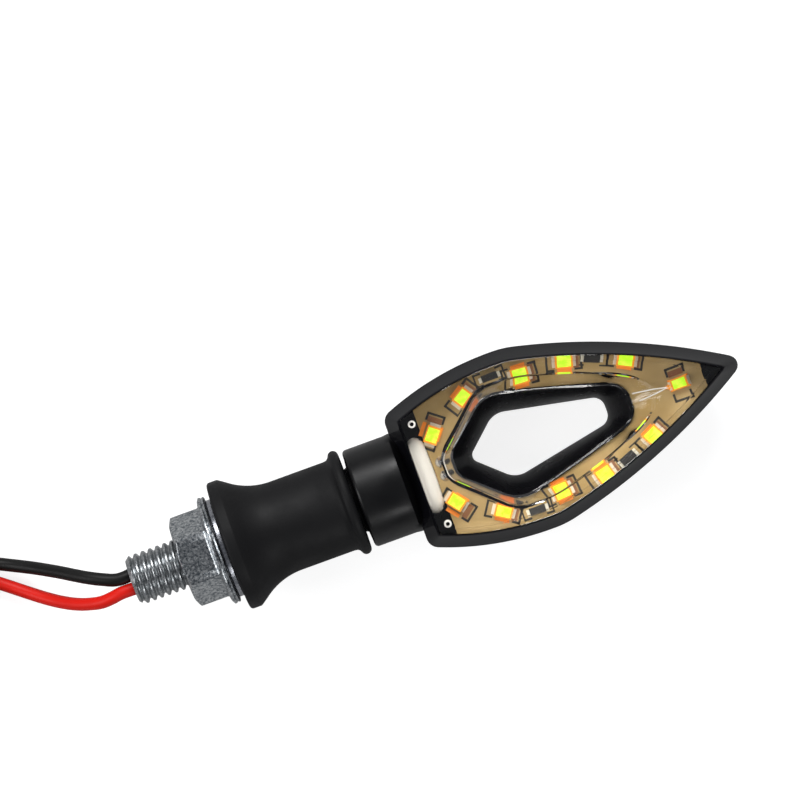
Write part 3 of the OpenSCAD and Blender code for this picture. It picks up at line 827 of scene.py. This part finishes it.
LEDS = both_sides(LED_PLACES) + [(STEM_X + TIP_LED * LENGTH, 0, 90)]
CHIPS = both_sides(CHIP_PLACES)


def boxes(name, items, mat, bevel=0.08):
    """Small bevelled blocks: (x, y, turn, along, across, length, width, low, height), in millimetres."""
    bm = bmesh.new()
    for x, y, turn, along, across, length, width, low, height in items:
        cos, sin = math.cos(math.radians(turn)), math.sin(math.radians(turn))
        corners = []
        for inset, z in ((0, low), (0, low + height - bevel), (bevel, low + height)):
            for sx, sy in SQUARE:
                u, v = along + sx * (length / 2 - inset), across + sy * (width / 2 - inset)
                place = Vector((x + u * cos - v * sin, y + u * sin + v * cos, z))
                corners.append(bm.verts.new(place * MM))
        bm.faces.new(corners[3::-1])
        bm.faces.new(corners[8:12])
        for low_ring in (0, 4):
            for k in range(4):
                n = (k + 1) % 4
                bm.faces.new((corners[low_ring + k], corners[low_ring + n],
                    corners[low_ring + 4 + n], corners[low_ring + 4 + k]))
    mesh = bpy.data.meshes.new(name)
    bm.to_mesh(mesh)
    bm.free()
    mesh.materials.append(mat)
    piece = bpy.data.objects.new(name, mesh)
    bpy.context.collection.objects.link(piece)
    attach(piece, "head")
    return piece


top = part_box("circuit_board")[1][2] / MM
INK_T = 0.02
ink_z = top + 0.005
ink_black = grained("ink_black", (0.012, 0.011, 0.01), (0.02, 0.018, 0.015), (0.4, 0.6), 0.3 * MM, 0.1)
brackets = []
for spots, end_at, end_width, arm_at, arm_out, line in ((LEDS, 3.4, 3.8, 2.75, 1.7, 0.45),
        (CHIPS, 3.0, 2.9, 2.3, 1.35, 0.35)):
    for x, y, turn in spots:
        for side in (-1, 1):
            brackets += [(x, y, turn, side * end_at, 0, line, end_width, ink_z, INK_T),
                (x, y, turn, side * arm_at, arm_out, 1.6, line, ink_z, INK_T),
                (x, y, turn, side * arm_at, -arm_out, 1.6, line, ink_z, INK_T)]
printed = boxes("printed_brackets", brackets, ink_black, 0.005)

# ---- LEDs --------------------------------------------------------------------------------
# Eleven surface-mount LEDs: amber moulded bodies, and resin windows that glow yellow-green in
# the middle and orange at the edges. They are soldered to the board.

led_amber = grained("led_amber", (0.9, 0.36, 0.03), (0.8, 0.27, 0.02), (0.3, 0.45), 0.3 * MM, 0.1,
    Emission_Color=(0.9, 0.3, 0.01, 1), Emission_Strength=0.25)
finish_node("led_bodies", led_amber)
led_glow, tree, shader = new_material("led_resin_lit")
place = tree.nodes.new("ShaderNodeTexCoord")
phosphor = tree.nodes.new("ShaderNodeTexNoise")
phosphor.inputs["Scale"].default_value = 700
tree.links.new(place.outputs["Object"], phosphor.inputs["Vector"])
tint = tree.nodes.new("ShaderNodeValToRGB")
tint.color_ramp.elements[0].position = 0.4
tint.color_ramp.elements[0].color = (0.42, 0.8, 0.012, 1)
tint.color_ramp.elements[1].position = 0.62
tint.color_ramp.elements[1].color = (0.6, 0.88, 0.05, 1)
tree.links.new(phosphor.outputs["Fac"], tint.inputs["Fac"])
tree.links.new(tint.outputs["Color"], shader.inputs["Base Color"])
tree.links.new(tint.outputs["Color"], shader.inputs["Emission Color"])
shader.inputs["Emission Strength"].default_value = 0.7
shader.inputs["Roughness"].default_value = 0.3
finish_node("led_windows", led_glow)

# ---- Pads, lands, chips and solder -------------------------------------------------------
# Tinned pads, lacquered copper lands, solder resist with a painted glow of the LEDs beside it,
# thick-film chip resistors, and the hand-soldered joints of the two leads.

land_z = top + 0.008
pad_tin = grained("pad_tin", (0.8, 0.76, 0.62), (0.62, 0.58, 0.46), (0.25, 0.45), 0.4 * MM, 0.4)
pad_copper = grained("pad_copper", (0.3, 0.13, 0.05), (0.22, 0.09, 0.04), (0.25, 0.4), 0.4 * MM, 0.3)
finish_node("solder_pads", pad_tin)
copper_lands = boxes("lacquered_lands",
    [(x, y, turn, 2.35, 0, 1.1, 2.9, land_z, 0.05) for x, y, turn in LEDS], pad_copper, 0.01)
# Orange colour and emission on the resist beside each LED: a painted glow of the LEDs' light.
resist_painted_glow = grained("resist_painted_glow", (0.8, 0.26, 0.02), (0.5, 0.12, 0.02), (0.3, 0.45), 0.4 * MM, 0.2,
    Emission_Color=(0.9, 0.25, 0.01, 1), Emission_Strength=0.3)
# Strips beside each LED that carry the painted glow.
lands_painted_glow = boxes("lands_painted_glow",
    [(x, y, turn, 0, side * 1.75, 2.9, 0.8, land_z, 0.03) for x, y, turn in LEDS for side in (-1, 1)],
    resist_painted_glow, 0.01)
chip_black = grained("chip_black", (0.014, 0.013, 0.012), (0.02, 0.018, 0.016), (0.3, 0.5), 0.3 * MM, 0.2)
finish_node("resistors", chip_black)
solder_gray = grained("solder_gray", (0.66, 0.66, 0.64), (0.5, 0.5, 0.5), (0.2, 0.4), 0.5 * MM, 0.4,
    Metallic=1.0)
finish_node("lead_joints", solder_gray)

# ---- Adhesive, wire seal and gasket ------------------------------------------------------
# White silicone holds the board's stem end and closes the collar round the leads, and a thin
# black rubber gasket lies in the joint between housing and lens.

white_silicone = grained("white_silicone", (0.82, 0.79, 0.72), (0.74, 0.7, 0.62), (0.35, 0.5), 0.8 * MM, 0.4)
finish_node("board_adhesive", white_silicone)
finish_node("wire_seal", white_silicone)
gasket_black = grained("gasket_black", (0.01, 0.01, 0.011), (0.016, 0.016, 0.016), (0.6, 0.75), 0.3 * MM, 0.3)
finish_node("lens_gasket", gasket_black)

# ---- Clear lens --------------------------------------------------------------------------
# A clear acrylic cover, injection moulded: a flat face with a wall that slopes down into the
# hole. It is set in the black border and bonded to the hole's rim.

lens_clear, tree, shader = new_material("lens_clear")
shader.inputs["Base Color"].default_value = (0.98, 0.97, 0.95, 1)
shader.inputs["Transmission Weight"].default_value = 1
shader.inputs["IOR"].default_value = 1.49
place = tree.nodes.new("ShaderNodeTexCoord")
flow = tree.nodes.new("ShaderNodeTexNoise")
flow.inputs["Scale"].default_value = 55
tree.links.new(place.outputs["Object"], flow.inputs["Vector"])
polish = tree.nodes.new("ShaderNodeMapRange")
polish.inputs["To Min"].default_value = 0.01
polish.inputs["To Max"].default_value = 0.035
tree.links.new(flow.outputs["Fac"], polish.inputs["Value"])
tree.links.new(polish.outputs["Result"], shader.inputs["Roughness"])
ripple = tree.nodes.new("ShaderNodeBump")
ripple.inputs["Strength"].default_value = 0.12
ripple.inputs["Distance"].default_value = 0.1 * MM
tree.links.new(flow.outputs["Fac"], ripple.inputs["Height"])
tree.links.new(ripple.outputs["Normal"], shader.inputs["Normal"])
clear = tree.nodes.new("ShaderNodeBsdfTransparent")
ray = tree.nodes.new("ShaderNodeLightPath")
mix = tree.nodes.new("ShaderNodeMixShader")
tree.links.new(ray.outputs["Is Shadow Ray"], mix.inputs["Fac"])
tree.links.new(shader.outputs["BSDF"], mix.inputs[1])
tree.links.new(clear.outputs["BSDF"], mix.inputs[2])
tree.links.new(mix.outputs["Shader"], tree.nodes["Material Output"].inputs["Surface"])

LENS_WALL = 1.5
BORDER = 2.75
CAVITY_TOP = FACE_Z - LENS_WALL * MM
LENS_LOW = SPLIT_Z + 0.02 * MM


def lens_height(share):
    """The height at a share of the way from the joint to the flat face."""
    return LENS_LOW + (FACE_Z - LENS_LOW) * share


def lens_rings():
    """The cover's section: edge, flat face, slope into the hole, and the inside back to the edge."""
    edge = -BORDER - 0.02
    rings = [(ring(HEAD_OUTLINE, -BORDER - 1), LENS_LOW), (ring(HEAD_OUTLINE, edge), LENS_LOW),
        (ring(HEAD_OUTLINE, edge), FACE_Z - 0.1 * MM), (ring(HEAD_OUTLINE, edge - 0.1), FACE_Z),
        (ring(HOLE_FACE, 0.25), FACE_Z), (ring(HOLE_FACE, 0.05), FACE_Z - 0.08 * MM)]
    for share in (0.9, 0.6, 0.3, 0.03):
        rings.append((mixed(ring(HOLE_RIM), ring(HOLE_FACE), share), lens_height(share)))
    rings += [(ring(HOLE_RIM, 0.15), LENS_LOW), (ring(HOLE_RIM, 1.15), LENS_LOW)]
    rings.append((mixed(ring(HOLE_RIM, HOLE_WALL), ring(HOLE_FACE, HOLE_WALL), 0.7), lens_height(0.7)))
    rings.append((ring(HOLE_FACE, HOLE_WALL + 0.15), CAVITY_TOP))
    rings.append((ring(HEAD_OUTLINE, -BORDER - 1), CAVITY_TOP))
    return rings


cover = mesh_piece("lens_cover", *loft(lens_rings()), lens_clear, smooth=30)
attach(cover, "head")
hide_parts("lens")

# ---- Black border of the lens ------------------------------------------------------------
# The broad sloping edge round the clear face: glossy black acrylic, moulded round the cover and
# bonded to the housing's rim.

LENS_INSET = 2.5


def border_rings():
    """The border's section: the joint, the slope up to the flat face and its inner edge."""
    rings = [(ring(HEAD_OUTLINE, -1.85), LENS_LOW), (ring(HEAD_OUTLINE, -0.15), LENS_LOW),
        (ring(HEAD_OUTLINE, 0), LENS_LOW + 0.15 * MM)]
    for share in (0.3, 0.6, 0.9):
        rings.append((ring(HEAD_OUTLINE, -LENS_INSET * share), lens_height(share)))
    for grow, drop in ((-LENS_INSET + 0.1, 0.22), (-LENS_INSET - 0.08, 0.04), (-BORDER + 0.02, 0.01),
            (-BORDER, 0.15)):
        rings.append((ring(HEAD_OUTLINE, grow), FACE_Z - drop * MM))
    return rings


edge_black = grained("edge_black", (0.0045, 0.0045, 0.006), (0.003, 0.003, 0.004), (0.05, 0.1),
    0.6 * MM, 0.05, Specular_IOR_Level=0.14)
border = mesh_piece("lens_border", *loft(border_rings()), edge_black, smooth=30)
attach(border, "head")
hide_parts("lens")

# ---- Ribs and posts under the lens -------------------------------------------------------
# Moulded with the lens from clear acrylic, but painted pale all over as a painted highlight where the
# light catches them: two ribs that meet at the sharp end of the hole's slope, and a hollow location
# post at each stem-side corner.

# Pale colour on the clear ribs and posts: a painted highlight where the light catches them.
highlight_pale = grained("acrylic_painted_highlight", (0.85, 0.84, 0.8), (0.6, 0.58, 0.55), (0.12, 0.25), 0.5 * MM, 0.3)
cavity = CAVITY_TOP / MM
ribs = boxes("lens_ribs", [(87.6, 0.75, -8, 0, 0, 7.0, 0.22, cavity - 0.6, 0.5),
    (88.2, -0.35, 4, 0, 0, 6.4, 0.22, cavity - 0.6, 0.5)], highlight_pale, 0.05)

POST_AT = (41.9, 10.3)
POST_R, POST_BORE = 0.75, 0.4
POST_LOW, POST_HIGH = 4.3, cavity - 0.05
for side, end in ((1, "upper"), (-1, "lower")):
    around = 32
    profile = [(POST_BORE, POST_LOW), (POST_R, POST_LOW), (POST_R, POST_HIGH - 0.1),
        (POST_R - 0.1, POST_HIGH), (POST_BORE, POST_HIGH)]
    verts = [((POST_AT[0] + r * math.cos(math.tau * k / around)) * MM,
        (side * POST_AT[1] + r * math.sin(math.tau * k / around)) * MM, z * MM)
        for r, z in profile for k in range(around)]
    post = mesh_piece(f"location_post_{end}", verts, ring_faces(len(profile), around, closed=True), highlight_pale)
    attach(post, "head")
